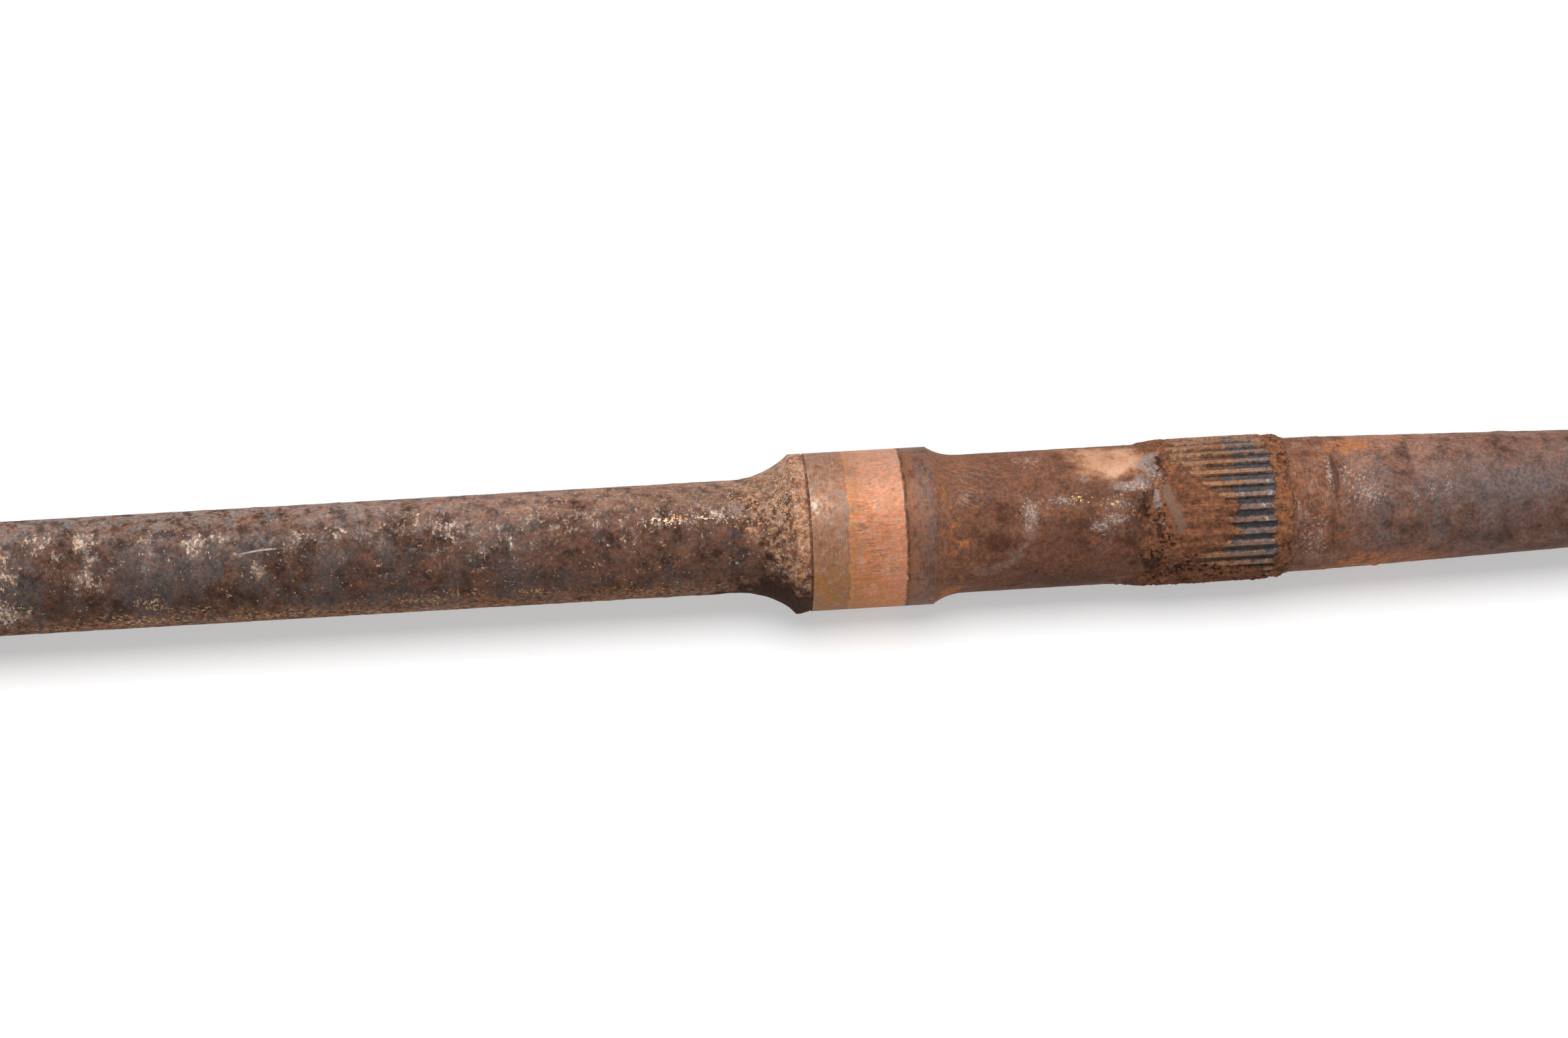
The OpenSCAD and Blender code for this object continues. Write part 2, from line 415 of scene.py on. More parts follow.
wander = swing(mottle(5, 5, 0.68, shift=41), 20)
flare_lean = plus(out_mm, wander, times(up_share, 9))
on_flare = times(ease(flare_lean, neck_end + 6, neck_end + 16), ease(out_mm, journal_start, groove_start))
flare_coat = toned(worn(tone, grain, 0.6), FLARE_DARK, FLARE_TAN, FLARE_LIGHT, 0.42, 0.58)
land_coat = toned(worn(tone, grain, 0.6), LAND_DARK, LAND_TAN, LAND_LIGHT, 0.42, 0.58)
# Painted top light: the flare's upper face is laid paler.
flare_coat = over(flare_coat, FLARE_LIGHT, topside, 0.35)
flare_coat = over(flare_coat, land_coat,
                  ease(plus(out_mm, times(wander, 0.3)), land_start - 1.5, land_start + 1))
skin = over(skin, flare_coat, on_flare)
skin = over(skin, MOSS_GREEN, ease(plus(specks, times(painted("moss"), 0.112)), 0.596, 0.660), 0.6)
far_out, pick = grains(0.55, 7)
loose = ease(plus(pick, times(painted("gold"), 0.56), swing(patches, 1.6)), 1.00, 1.14)
gold_cover = times(loose, ease(far_out, 0.62, 0.40))
# The gold grains are flecked with white painted glints.
gravel = over(over(GRAIN_TAN, GRAIN_GOLD, ease(grain, 0.50, 0.58)), WHITE_GLINT, ease(chips, 0.56, 0.61))
skin = over(skin, gravel, gold_cover, 0.85)
glint_cover = ease(plus(specks, times(painted("glint"), 0.144)), 0.660, 0.700)
skin = over(skin, over(GLINT_PINK, GLINT_GOLD, ease(grain, 0.46, 0.54)), glint_cover)
grease_cover = ragged("grease", patches, 2.2, 0.26, 0.80)
skin = over(skin, GREASE_BLACK, grease_cover, 0.93)
dull = worn(worn(worn(dull, 0.50, gold_cover), 0.36, glint_cover), 0.85, grease_cover)
metal = worn(worn(metal, 0.10, gold_cover), 0.35, glint_cover)
rise = plus(rise, times(grain, on_flare, 0.15), times(gold_cover, 0.10), times(glint_cover, 0.05))

dabs("gold", (118, 66, 6, 46, 1.0), (121.7, 58, 3, 60, 0.7), (108, 68, 9, 22, 0.75),
     (112, 100, 9, 20, 0.75), (95, 64, 14, 12, 0.6), (116, 14, 3, 9, 1.0))
dabs("glint", (88.2, 61, 6.5, 4.5, 1.5), (98.3, 61.5, 5, 3.5, 1.5), (118, 96, 5, 18, 0.7),
     (122, 64, 2, 26, 0.5), (117, 72, 6, 34, 0.55))
dabs("blue", (106.5, 66, 5, 9, 0.55))
dabs("moss", (84, 86, 5, 8, 1.0), (94.5, 86, 7, 8, 1.0))
dabs("grease", (116, -32, 9, 40, 1.2), (108, -42, 10, 34, 0.9), (121.5, -34, 4, 40, 1.1),
     (98, -40, 12, 24, 0.35), (113, 20, 2.5, 8, 0.7), (101, 24, 8, 12, 0.30))

# Bearing journal
# The ground seat of the bearing: its inner ring rubbed a bright orange band, and the spacer and the seal
# beside it kept the rest brown-grey. The grinding lines run round the shaft.
BAND_START = 133.1
BAND_END = 147.2
SEAL_START = 150.6
JOURNAL_RING = 1.1

GROUND_DARK = (0.262, 0.125, 0.072)
GROUND_BROWN = (0.360, 0.183, 0.110)
GROUND_LIGHT = (0.460, 0.272, 0.190)
GROUND_BLUE = (0.310, 0.215, 0.178)
GROUND_OCHRE = (0.370, 0.170, 0.058)
BAND_DEEP = (0.470, 0.180, 0.084)
BAND_ORANGE = (0.590, 0.246, 0.130)
BAND_PALE = (0.615, 0.335, 0.238)
BAND_SALMON = (0.660, 0.288, 0.198)
BAND_OCHRE = (0.570, 0.215, 0.062)
EDGE_DARK = (0.085, 0.042, 0.028)
GROOVE_BROWN = (0.140, 0.058, 0.032)
EDGE_BROWN = (0.235, 0.105, 0.052)
BLOT_BROWN = (0.215, 0.125, 0.092)
BAND_LINE = (0.600, 0.265, 0.095)
SPACER_BROWN = (0.285, 0.125, 0.078)
SPACER_DARK = (0.150, 0.068, 0.044)
SEAL_SLATE = (0.198, 0.122, 0.098)

journal_end = journal_start + journal_mount["dims"]["length_mm"]
journal = [(along, JOURNAL_R) for along in spread(journal_start, journal_end, JOURNAL_RING)]
for left in BOTH_ENDS:
    turned(journal, ROUND_STEPS, left)

lines_round = mottle(1.0, 5, 0.7, pull=(0.28, 4, 4), shift=51)
lines_along = mottle(1.0, 5, 0.7, pull=(4.5, 0.45, 0.45), shift=53)
nibble = swing(mottle(1.6, 5, 0.7, pull=(1, 1.6, 1.6), shift=55), 3.0)
nibbled_mm = plus(out_mm, nibble)
ground_tone = plus(times(lines_round, 0.4), times(grain, 0.35), times(tone, 0.25))
ground = toned(ground_tone, GROUND_DARK, GROUND_BROWN, GROUND_LIGHT, 0.42, 0.59)
blue_lean = plus(times(ease(nibbled_mm, BAND_START - 6, BAND_START - 1.5), 0.05), patches)
ground = over(ground, GROUND_BLUE, ease(blue_lean, 0.53, 0.65), 0.70)
ground = over(ground, GROUND_OCHRE, times(ease(painted("ochre"), 0.05, 0.9), ease(patches, 0.42, 0.54)))
# The underside of the ground seat is laid more ochre: partly rust, partly painted warm bounce light from the
# floor.
ground = over(ground, GROUND_OCHRE, underside, 0.40)
band = toned(worn(tone, lines_along, 0.6), BAND_DEEP, BAND_ORANGE, BAND_PALE, 0.41, 0.60)
band = over(band, BAND_SALMON, ease(plus(out_mm, times(nibble, 3)), BAND_START + 5, BAND_END), 0.35)
ochre_lean = plus(times(ease(out_mm, BAND_END - 3, BAND_START + 1), 0.05), times(painted("ochre"), 0.06))
band = over(band, BAND_OCHRE, ease(plus(patches, ochre_lean), 0.53, 0.64), 0.75)
flecks = mottle(0.8, 2, 0.5, pull=(2.6, 0.5, 0.5), shift=57)
blot_cover = ease(plus(flecks, times(painted("blot"), 0.20)), 0.67, 0.74)
# Painted top light on the band's upper face; its underside is laid deeper ochre, partly rust and partly
# painted warm floor bounce.
band = over(band, BAND_PALE, topside, 0.55)
band = over(band, BAND_OCHRE, underside, 0.55)
band = over(band, GROUND_OCHRE, ease(plus(nibbled_mm, times(nibble, 2)), BAND_START + 5.0, BAND_START), 0.42)
slate_left = plus(patches, times(ease(out_mm, BAND_END - 2, BAND_START), 0.05))
band = over(band, GROUND_BLUE, ease(slate_left, 0.57, 0.66), 0.45)
band = over(band, BLOT_BROWN, blot_cover, 0.70)
left_line = between(nibbled_mm, BAND_START - 0.3, BAND_START, BAND_START + 0.4, BAND_START + 1.0)
band = over(band, BAND_LINE, times(left_line, ease(grain, 0.42, 0.54)), 0.80)
spacer = toned(worn(tone, lines_round, 0.3), SPACER_DARK, SPACER_BROWN, GROUND_DARK, 0.41, 0.60)
seal = over(SPACER_DARK, SEAL_SLATE, ease(worn(lines_round, patches, 0.5), 0.42, 0.52))
seal = over(seal, SPACER_BROWN, ease(patches, 0.52, 0.58), 0.8)
spacer = over(spacer, seal, ease(plus(out_mm, times(nibble, 1.5)), SEAL_START - 0.8, SEAL_START + 0.8))
journal_coat = over(ground, band, ease(nibbled_mm, BAND_START - 0.15, BAND_START + 0.15))
journal_coat = over(journal_coat, spacer,
                    ease(plus(out_mm, times(nibble, 0.5)), BAND_END - 0.25, BAND_END + 0.25))
edge_mm = plus(out_mm, times(nibble, 0.4))
edge_strip = between(edge_mm, BAND_END - 0.2, BAND_END + 0.2, BAND_END + 1.2, BAND_END + 2.2)
edge_line = between(edge_mm, BAND_END + 0.2, BAND_END + 0.5, BAND_END + 0.7, BAND_END + 1.1)
edge_glint = between(edge_mm, BAND_END - 0.4, BAND_END - 0.1, BAND_END, BAND_END + 0.3)
journal_coat = over(journal_coat, EDGE_BROWN, edge_strip, 0.80)
journal_coat = over(journal_coat, EDGE_DARK, times(edge_line, ease(patches, 0.40, 0.54)), 0.85)
journal_coat = over(journal_coat, BAND_PALE, times(edge_glint, ease(patches, 0.48, 0.56)), 0.75)
on_journal = times(ease(out_mm, journal_start - 0.05, journal_start + 0.05),
                   ease(nibbled_mm, journal_end + 0.9, journal_end - 0.5))
skin = over(skin, journal_coat, on_journal)
groove_line = between(out_mm, groove_start - 0.25, groove_start + 0.1,
                      journal_start - 0.1, journal_start + 0.1)
skin = over(skin, GROOVE_BROWN, times(groove_line, ease(grain, 0.40, 0.52)), 0.80)
# Painted highlight: soft white glare on the journal where the light from above glances off it, and a thin
# pale line along its edge by the groove.
journal_highlight_rise = plus(painted("journal_highlight"), swing(specks, 2.0))
journal_highlight_cover = held("journal_highlight", times(ease(journal_highlight_rise, 0.20, 1.0), on_journal))
skin = over(skin, WHITE_GLINT, journal_highlight_cover, 0.75)
dull = worn(dull, 0.52, on_journal)
metal = worn(metal, 0.25, on_journal)
ground_rise = plus(times(lines_round, 0.05), times(lines_along, 0.05), times(tone, 0.16))
rise = worn(rise, ground_rise, on_journal)

# Painted highlights on the journal.
dabs("journal_highlight", (124.9, 60, 1.6, 7, 0.75), (126.5, 58, 3.5, 12, 0.40), (124.2, 66, 0.8, 34, 0.45),
     (139.8, 58, 2.4, 7, 0.36))
dabs("ochre", (127, -16, 12, 40, 1.0), (137, -20, 8, 34, 0.9))
dabs("blot", (136.0, 57, 2.6, 5, 1.0), (136.4, 43, 2.8, 5, 1.2), (134.5, 86, 3.0, 5, 1.0),
     (137.8, 33, 2.6, 5, 1.0), (140, 14, 5, 18, 0.45), (139, 48, 5, 24, 0.25))

# Fillet and hub shank
# Outside the journal a round fillet drops to the shank that sits in the bore of the hub.
# Its rust is smooth and brown where the hub rubbed, with a peach patch near the spline and chalky stains.
# The chalky marks are partly painted glints, the gold specks are painted glints, and its top is painted paler
# as top light.
SHOULDER_RADIUS = 13.5
SHANK_R = 17.5
SHANK_RING = 1.5
SHOULDER_RINGS = 11
CAKED_START = 201.0

# The pale arc wiped across the shank, as (mm along, degrees up from the front)
SWIPE_PATH = ((178.8, 40), (178.5, 33), (177.8, 26), (176.8, 19), (175.6, 12.5), (174.1, 7), (172.3, 2.5),
              (170.3, -1), (168.3, -3.5), (166.4, -5))

SHANK_DARK = (0.080, 0.032, 0.019)
SHANK_BROWN = (0.158, 0.068, 0.041)
SHANK_LIGHT = (0.250, 0.112, 0.067)
SHANK_GREY = (0.185, 0.110, 0.087)
SHANK_RUST = (0.265, 0.106, 0.044)
PATCH_ORANGE = (0.450, 0.170, 0.066)
PEACH_DEEP = (0.410, 0.190, 0.100)
PEACH = (0.560, 0.295, 0.175)
PEACH_PALE = (0.640, 0.385, 0.260)
CHALK_AND_GLINT = (0.480, 0.355, 0.305)
BLUE_GREY = (0.290, 0.222, 0.203)
SHANK_GLINT_GOLD = (0.950, 0.640, 0.200)
SCUFF_GREY = (0.270, 0.172, 0.142)
SWIPE_GREY = (0.238, 0.136, 0.101)

shoulder_sweep = math.acos(1 - (JOURNAL_R - SHANK_R) / SHOULDER_RADIUS)
shank_start = journal_end + SHOULDER_RADIUS * math.sin(shoulder_sweep)
shoulder = [(shank_start - SHOULDER_RADIUS * math.sin(a), SHANK_R + SHOULDER_RADIUS * (1 - math.cos(a)))
            for a in np.linspace(shoulder_sweep, 0, SHOULDER_RINGS)]
shank = [(along, SHANK_R) for along in spread(shank_start, CAKED_START - 1, SHANK_RING)]
for left in BOTH_ENDS:
    turned(shoulder, ROUND_STEPS, left)
    turned(shank, ROUND_STEPS, left)

smear = mottle(2.6, 6, 0.7, pull=(2.0, 0.6, 1.6), shift=61)
shank_coat = toned(worn(clouds, tone, 0.7), SHANK_DARK, SHANK_BROWN, SHANK_LIGHT, 0.38, 0.64)
shank_coat = over(shank_coat, SHANK_GREY, ease(smear, 0.54, 0.66), 0.55)
# Painted top light: the shank's upper face is laid lighter.
shank_coat = over(shank_coat, SHANK_LIGHT, topside, 0.50)
shank_coat = over(shank_coat, SHANK_LIGHT, ease(out_mm, shank_start + 8, journal_end), 0.50)
rust_lean = times(ease(out_mm, shank_start + 12, journal_end), 0.08)
shank_coat = over(shank_coat, SHANK_RUST, ease(plus(patches, rust_lean), 0.53, 0.67), 0.50)
on_shank = ease(nibbled_mm, journal_end - 0.5, journal_end + 0.9)
skin = over(skin, shank_coat, on_shank)
patch_cover = ragged("patch", patches, 3.2, 0.36, 0.80)
skin = over(skin, PATCH_ORANGE, patch_cover, 0.75)
scuffs = mottle(0.9, 4, 0.6, pull=(6.0, 0.45, 0.8), shift=67, slant=27)
scuff_cover = held("scuff", times(ease(scuffs, 0.50, 0.62), painted("scuff")))
skin = over(skin, SCUFF_GREY, scuff_cover, 0.75)
swipe_cover = ragged("swipe", tone, 1.6, 0.20, 0.85)
skin = over(skin, SWIPE_GREY, swipe_cover, 0.80)
stain_and_shade_cover = ragged("stain_and_shade", tone, 2.6, 0.30, 0.90)
skin = over(skin, SHANK_DARK, stain_and_shade_cover, 0.82)
peach = toned(worn(clouds, tone, 0.6), PEACH_DEEP, PEACH, PEACH_PALE, 0.40, 0.62)
peach_rise = plus(painted("peach"), swing(worn(clouds, tone, 0.5), 2.0))
skin = over(skin, SHANK_RUST, held("peach", ease(peach_rise, 0.08, 0.45)), 0.70)
peach_cover = held("peach", ease(peach_rise, 0.22, 0.85))
skin = over(skin, peach, peach_cover)
blue_cover = ragged("blue", tone, 2.8, 0.28, 0.80)
skin = over(skin, BLUE_GREY, blue_cover, 0.82)
# Chalky marks, dabbed mostly where the light from above glances off: partly chalky deposits, partly painted
# glints.
chalk_glint_grain = mottle(0.7, 6, 0.74, shift=63)
chalk_and_glint_place = painted("chalk_and_glint")
chalk_and_glint_rise = plus(chalk_glint_grain, times(chalk_and_glint_place, 0.135))
chalk_and_glint_cover = held("chalk_and_glint", ease(chalk_and_glint_rise, 0.580, 0.680))
skin = over(skin, CHALK_AND_GLINT, ease(chalk_and_glint_place, 0.25, 1.2), 0.28)
skin = over(skin, CHALK_AND_GLINT, chalk_and_glint_cover, 0.80)
# Painted glints: gold specks on the shank where the light from above glances off.
shank_glint = times(ease(plus(specks, times(painted("gold_glint"), 0.152)), 0.672, 0.696),
                   ease(painted("gold_glint"), 0.03, 0.20))
skin = over(skin, SHANK_GLINT_GOLD, shank_glint)
dull = worn(worn(worn(dull, 0.64, on_shank), 0.52, peach_cover), 0.50, chalk_and_glint_cover)
metal = worn(metal, 0.04, on_shank)
rise = worn(rise, plus(times(tone, 0.50), times(chalk_and_glint_cover, 0.04)), on_shank)

dabs("patch", (158, -30, 5, 14, 0.95), (159, 30, 6, 60, 0.30))
dabs("swipe", *((along, turn, 2.1, 7, 0.85) for along, turn in SWIPE_PATH))
dabs("scuff", (165, 72, 7, 18, 1.0), (164, 60, 6, 9, 1.1), (168, 88, 8, 12, 0.9))
dabs("peach", (200, 95, 8.5, 18, 1.10), (205.5, 92, 4.5, 14, 0.9), (196, 104, 8, 16, 0.8),
     (192, 106, 7, 14, 0.6), (196, 86, 4, 11, 0.85), (202, 85, 4, 11, 0.95))
dabs("blue", (209.6, 86, 3.2, 15, 0.95), (204, 66, 6, 5, 0.7), (193, 74, 4, 5, 0.26),
     (189.5, 90, 2.5, 10, 0.24))
dabs("chalk_and_glint", (206, 64, 5, 5, 1.1), (211.5, 72, 2, 6, 1.0), (179, 47, 2.2, 11, 1.35),
     (178.2, 36, 1.6, 6, 0.8), (187, 55, 5, 6, 0.85), (196.5, 32, 3.5, 6, 1.05), (200, 38, 4, 6, 1.05),
     (201, 49, 5, 9, 0.75), (180, 98, 4, 10, 0.7), (162.5, 62, 3, 4, 0.6))
dabs("stain_and_shade", (170.3, 23, 3.6, 8, 1.4), (174, 46, 3, 12, 0.6), (192, 34, 6, 9, 0.8), (196, 58, 9, 7, 0.7),
     (206, 42, 6, 22, 0.7), (188, -22, 22, 22, 0.7))
dabs("gold_glint", (191.5, 56, 4, 4, 0.95), (200.5, 50, 3, 4, 0.9))

# Hub spline
# Thirty-six involute teeth, hobbed into the shaft, drive the hub. Rust and dirt have caked over the inner
# part of the teeth, and bare blue-black grooves show towards the outer end, where the hub sat.
HUB_TEETH = 36
STEPS_PER_TOOTH = 6
TOOTH_TURN = 1.0
TOOTH_DEPTH = 1.25
TOOTH_CHAMFER = 0.8
CHAMFER_RUN = TOOTH_CHAMFER / math.tan(math.radians(30))
TIP_SHARE = 0.12
ROOT_SHARE = 0.40
GROOVE_DIRT = 0.25
RELIEF_R = 17.05
CAKED_END = 251.0
CAKED_RING = 0.45
FAR_CAKED_RING = 0.7
FAR_CAKE_TURN = 150.0
CAKE_PIT_DEPTH = 0.65
SCRAPE_ALONG = 215.0
SCRAPE_TURN = 43.0
SCRAPE_SLANT = 6.0
SCRAPE_WIDTH = 2.3
SCRAPE_SPAN = 22.0
RIM_SLACK = 1e-6

# The inner and outer edges of the caked rust, as (degrees up from the front, mm along)
CAKE_INNER = ((-180, 206), (-70, 204), (-28, 205), (-10, 208.5), (6, 205.5), (22, 209), (40, 206),
              (56, 208.5), (66, 211), (100, 212), (114, 209.5), (134, 210), (180, 206))
CAKE_OUTER = ((-180, 221), (-120, 224), (-70, 231), (-40, 240), (-16, 236), (-6, 221), (5, 223), (12, 228),
              (20, 230.5), (32, 231), (46, 229.5), (57, 225), (67, 220.5), (76, 217), (92, 215), (125, 216),
              (150, 219), (180, 221))
CAKE_SMOOTH_ALONG = (213, 217)
CAKE_SMOOTH_TURN = (-8, 12)
CREST_START_R = 17.75
CREST_FULL_R = 18.35

CAKE_PIT = (0.042, 0.017, 0.010)
CAKE_DARK = (0.120, 0.050, 0.027)
CAKE_BROWN = (0.212, 0.087, 0.047)
CAKE_ORANGE = (0.320, 0.132, 0.062)
TOOTH_BLUE = (0.068, 0.064, 0.068)
TOOTH_BROWN = (0.130, 0.066, 0.044)
TOOTH_CREST = (0.235, 0.152, 0.124)
TOOTH_RUST = (0.310, 0.152, 0.080)
TOOTH_BARE_GLINT = (0.520, 0.450, 0.420)
SCRAPED = (0.205, 0.120, 0.088)

hub_mount = mounts["hub_spline_right"]
hub_length = hub_mount["dims"]["length_mm"]
tip_r = hub_mount["dims"]["r_mm"]
spline_start = hub_mount["pos_m"][0] / MM - hub_length / 2
spline_end = spline_start + hub_length
inner_turns, inner_places = zip(*CAKE_INNER)
outer_turns, outer_places = zip(*CAKE_OUTER)


def bridged(*stations):
    """Join the open rings that lie at some places along each end of the axle."""
    for side in (1, -1):
        rims = [e for e in axle.edges if e.is_boundary and any(
            all(abs(v.co.x - side * station * MM) < RIM_SLACK for v in e.verts) for station in stations)]
        bmesh.ops.bridge_loops(axle, edges=rims)


def toothed_r(along, turn, teeth, tip, start, end):
    """Radius of a spline at a place: rounded crests and roots, sloping flanks and chamfered ends."""
    share = (turn - TOOTH_TURN) * teeth / 360
    down = TOOTH_DEPTH * eased(abs(share - round(share)), TIP_SHARE, ROOT_SHARE)
    inset = min(along - start, end - along)
    ends = TOOTH_CHAMFER * max(0.0, 1 - inset / CHAMFER_RUN)
    return tip - min(TOOTH_DEPTH, max(down, ends))


def caking(place_x, turn):
    """Radius of the caked spline at a place, how far rust and dirt cover it, and how deep its pits are."""
    along = abs(place_x)
    spot = Vector((place_x, -SHANK_R * math.cos(math.radians(turn)), SHANK_R * math.sin(math.radians(turn))))
    lumps = noise.fractal(spot * 0.30, 0.7, 2.1, 4)
    crumbs = noise.fractal(spot * 0.8 + Vector((9, 4, 2)), 0.7, 2.1, 3)
    pits = eased(noise.noise(spot * 1.15 + Vector((3, 8, 5))) + 0.45 * lumps, 0.10, 0.50)
    toothed = toothed_r(along, turn, HUB_TEETH, tip_r, spline_start, spline_end)
    if along < spline_start:
        bare_r = SHANK_R
    elif along <= spline_end:
        packing = GROOVE_DIRT + 0.45 * (1 - eased(along, spline_start + 3, spline_start + 15))
        bare_r = max(toothed, tip_r - TOOTH_DEPTH + packing + 0.15 * crumbs) + 0.05 * crumbs
    else:
        bare_r = RELIEF_R
    read = (turn + FAR_CAKE_TURN + 180) % 360 - 180 if place_x < 0 else turn
    inner = np.interp(read, inner_turns, inner_places) + 3.8 * lumps + 1.8 * crumbs
    outer = np.interp(read, outer_turns, outer_places) + 2.4 * lumps + 1.0 * crumbs
    swell = eased(along, inner - 2.0, inner + 3.2)
    filled = 1 - eased(along, outer - 1.0, outer + 1.2)
    cake = filled * swell
    smooth = eased(along, *CAKE_SMOOTH_ALONG) * eased(read, *CAKE_SMOOTH_TURN)
    rough = 1 - 0.65 * smooth
    cake_r = SHANK_R + (tip_r - 0.08 - SHANK_R) * swell + (0.40 * lumps + 0.26 * crumbs) * swell * rough
    cake_r -= 0.26 * (tip_r - toothed) * smooth
    pits *= max(cake, eased(along, spline_end - 1, spline_end + 1)) * (1 - 0.75 * smooth)
    level = bare_r + max(0.0, cake_r - bare_r) * filled - CAKE_PIT_DEPTH * pits
    ring_start = spline_end - 1.2 + 1.6 * lumps + 0.8 * crumbs
    if along > ring_start:
        ring = 1 - eased(along, spline_end + 0.8, spline_end + 4.8 + 2.0 * lumps + 0.8 * crumbs)
        packed = RELIEF_R + (0.95 + 0.40 * lumps + 0.35 * crumbs) * ring + 0.06 * crumbs
        share = eased(along, ring_start, ring_start + 0.7)
        level += (max(packed, level if along < spline_end else packed) - level) * share
        cake = max(cake, ring * share)
        pits *= 1 - 0.5 * share
    off = place_x - SCRAPE_ALONG
    scrape = (off / SCRAPE_WIDTH) ** 2 + ((turn - SCRAPE_TURN + SCRAPE_SLANT * off) / SCRAPE_SPAN) ** 2
    if scrape < 1:
        flat = eased(1 - scrape, 0, 0.3)
        level += flat * (tip_r - 0.12 - level)
        pits *= 1 - flat
    return level, cake, pits


def caked_r(place_x, turn, out):
    return caking(place_x, turn)[0]


for left in BOTH_ENDS:
    step = FAR_CAKED_RING if left else CAKED_RING
    caked = [(along, SHANK_R) for along in spread(CAKED_START, CAKED_END, step)]
    turned(caked, HUB_TEETH * STEPS_PER_TOOTH, left, first_turn=90 + TOOTH_TURN, worked=caked_r)
bridged(CAKED_START - 1, CAKED_START)

crust_cover = ragged("crust", tone, 3.0, 0.22, 0.60)
cake_tone = plus(times(tone, 0.30), times(grain, 0.35), times(lines_along, 0.35))
cake_coat = toned(cake_tone, CAKE_DARK, CAKE_BROWN, CAKE_ORANGE, 0.41, 0.60)
on_ring = ease(out_mm, spline_end - 2, spline_end)
cake_coat = over(cake_coat, CAKE_ORANGE, on_ring, 0.45)
cake_coat = over(cake_coat, PATCH_ORANGE, times(on_ring, ease(chips, 0.53, 0.62)), 0.55)
cake_coat = over(cake_coat, CAKE_PIT, times(on_ring, ease(patches, 0.47, 0.40)), 0.65)
# Painted shade: the caked rust is laid darker towards the bottom.
cake_coat = over(cake_coat, CAKE_DARK, ease(plus(up_share, swing(tone, 4)), 0.25, -0.45), 0.20)
cake_coat = over(cake_coat, CAKE_PIT, ease(plus(painted("pits"), swing(grain, 1.6)), 0.26, 0.75), 0.8)
bare_lean = plus(painted("bare"), swing(tone, 3.0))
groove_coat = over(TOOTH_BROWN, TOOTH_BLUE, ease(bare_lean, 0.15, 0.60))
crest_coat = over(TOOTH_RUST, TOOTH_CREST, ease(bare_lean, 0.15, 0.70))
# Pale flecks on the tooth crests where the light from above glances off: partly bare steel, partly painted
# glints.
crest_coat = over(crest_coat, TOOTH_BARE_GLINT, ease(plus(chips, times(painted("crest_glint"), 0.15)), 0.62, 0.69), 0.8)
crest_r = plus(radius_mm, swing(grain, 3.0))
tooth_coat = over(groove_coat, crest_coat, ease(crest_r, CREST_START_R, CREST_FULL_R))
on_spline = between(out_mm, spline_start - 0.4, spline_start, spline_end - 0.1, spline_end + 0.3)
skin = over(skin, tooth_coat, on_spline)
skin = over(skin, cake_coat, crust_cover)
skin = over(skin, BLUE_GREY, times(blue_cover, crust_cover), 0.75)
skin = over(skin, CHALK_AND_GLINT, times(chalk_and_glint_cover, crust_cover), 0.75)
crack_cover = ragged("crack", grain, 4.5, 0.42, 0.60)
skin = over(skin, CAKE_PIT, crack_cover, 0.85)
scraped_cover = ease(plus(painted("scraped"), swing(tone, 1.2)), 0.35, 0.55)
skin = over(skin, SCRAPED, scraped_cover, 0.85)
dull = worn(worn(worn(dull, 0.50, on_spline), 0.85, crust_cover), 0.6, scraped_cover)
metal = worn(worn(metal, 0.20, on_spline), 0.0, crust_cover)
rise = worn(rise, plus(times(tone, 0.55), times(grain, 0.50)), crust_cover)
rise = worn(rise, 0.42, scraped_cover)

dabs("scraped", *((SCRAPE_ALONG + 0.8 * k, SCRAPE_TURN - 7 * k, 1.3, 7, 1.0) for k in range(-2, 3)))
dabs("blue", (210.6, 50, 1.4, 9, 0.6))
dabs("chalk_and_glint", (211, 56, 1.2, 5, 0.8), (211.8, 30, 1.0, 4, 0.9))
dabs("crack", (212.6, 84, 0.9, 8, 1.2), (211.5, 30, 1.4, 16, 0.75), (208, 44, 2.0, 14, 0.6),
     (209.5, -6, 3.0, 14, 0.8), (217, -10, 5.0, 10, 0.55), (243.5, 84, 1.2, 12, 0.7))
dabs("bare", (238, 34, 9, 48, 1.0), (237, 86, 7, 22, 0.75), (233, 112, 7, 14, 0.6), (236, 170, 7, 60, 0.7),
     (-236, 60, 7, 110, 0.8), (-234, 200, 8, 60, 0.7))
dabs("crest_glint", (239, 52, 4, 24, 0.75), (230, 54, 5, 4, 0.8))

# Relief and tapered arm
# Past the spline a shallow relief lets the hob run out, and from there the arm tapers to the wheel.
# An orange ring of rust is packed against the tooth ends, and the arm is dull brown with slate bloom.
RELIEF_LENGTH = 14.0
ARM_STEP = 0.1
ARM_LENGTH = 92.0
ARM_END_R = 14.25
ARM_RING = 3.0
SEEN_RING = 0.8
SEEN_END = 288.0
# The nick, as (mm along, degrees up, half its sizes, depth)
SLOT = (256.7, 66.0, 0.9, 26.0, 0.35)
ARM_SHADE = (262.0, 318.0)
ARM_RUSTY = (300.0, 262.0)

RELIEF_DARK = (0.130, 0.055, 0.033)
RELIEF_RUST = (0.212, 0.095, 0.059)
RELIEF_LIGHT = (0.300, 0.156, 0.108)
ARM_DARK = (0.095, 0.048, 0.035)
ARM_BROWN = (0.180, 0.093, 0.068)
ARM_LIGHT = (0.260, 0.142, 0.106)
ARM_SLATE = (0.155, 0.126, 0.124)
ARM_TOP = (0.430, 0.222, 0.158)
ARM_LOW = (0.480, 0.170, 0.070)
ARM_BLUE = (0.150, 0.150, 0.165)

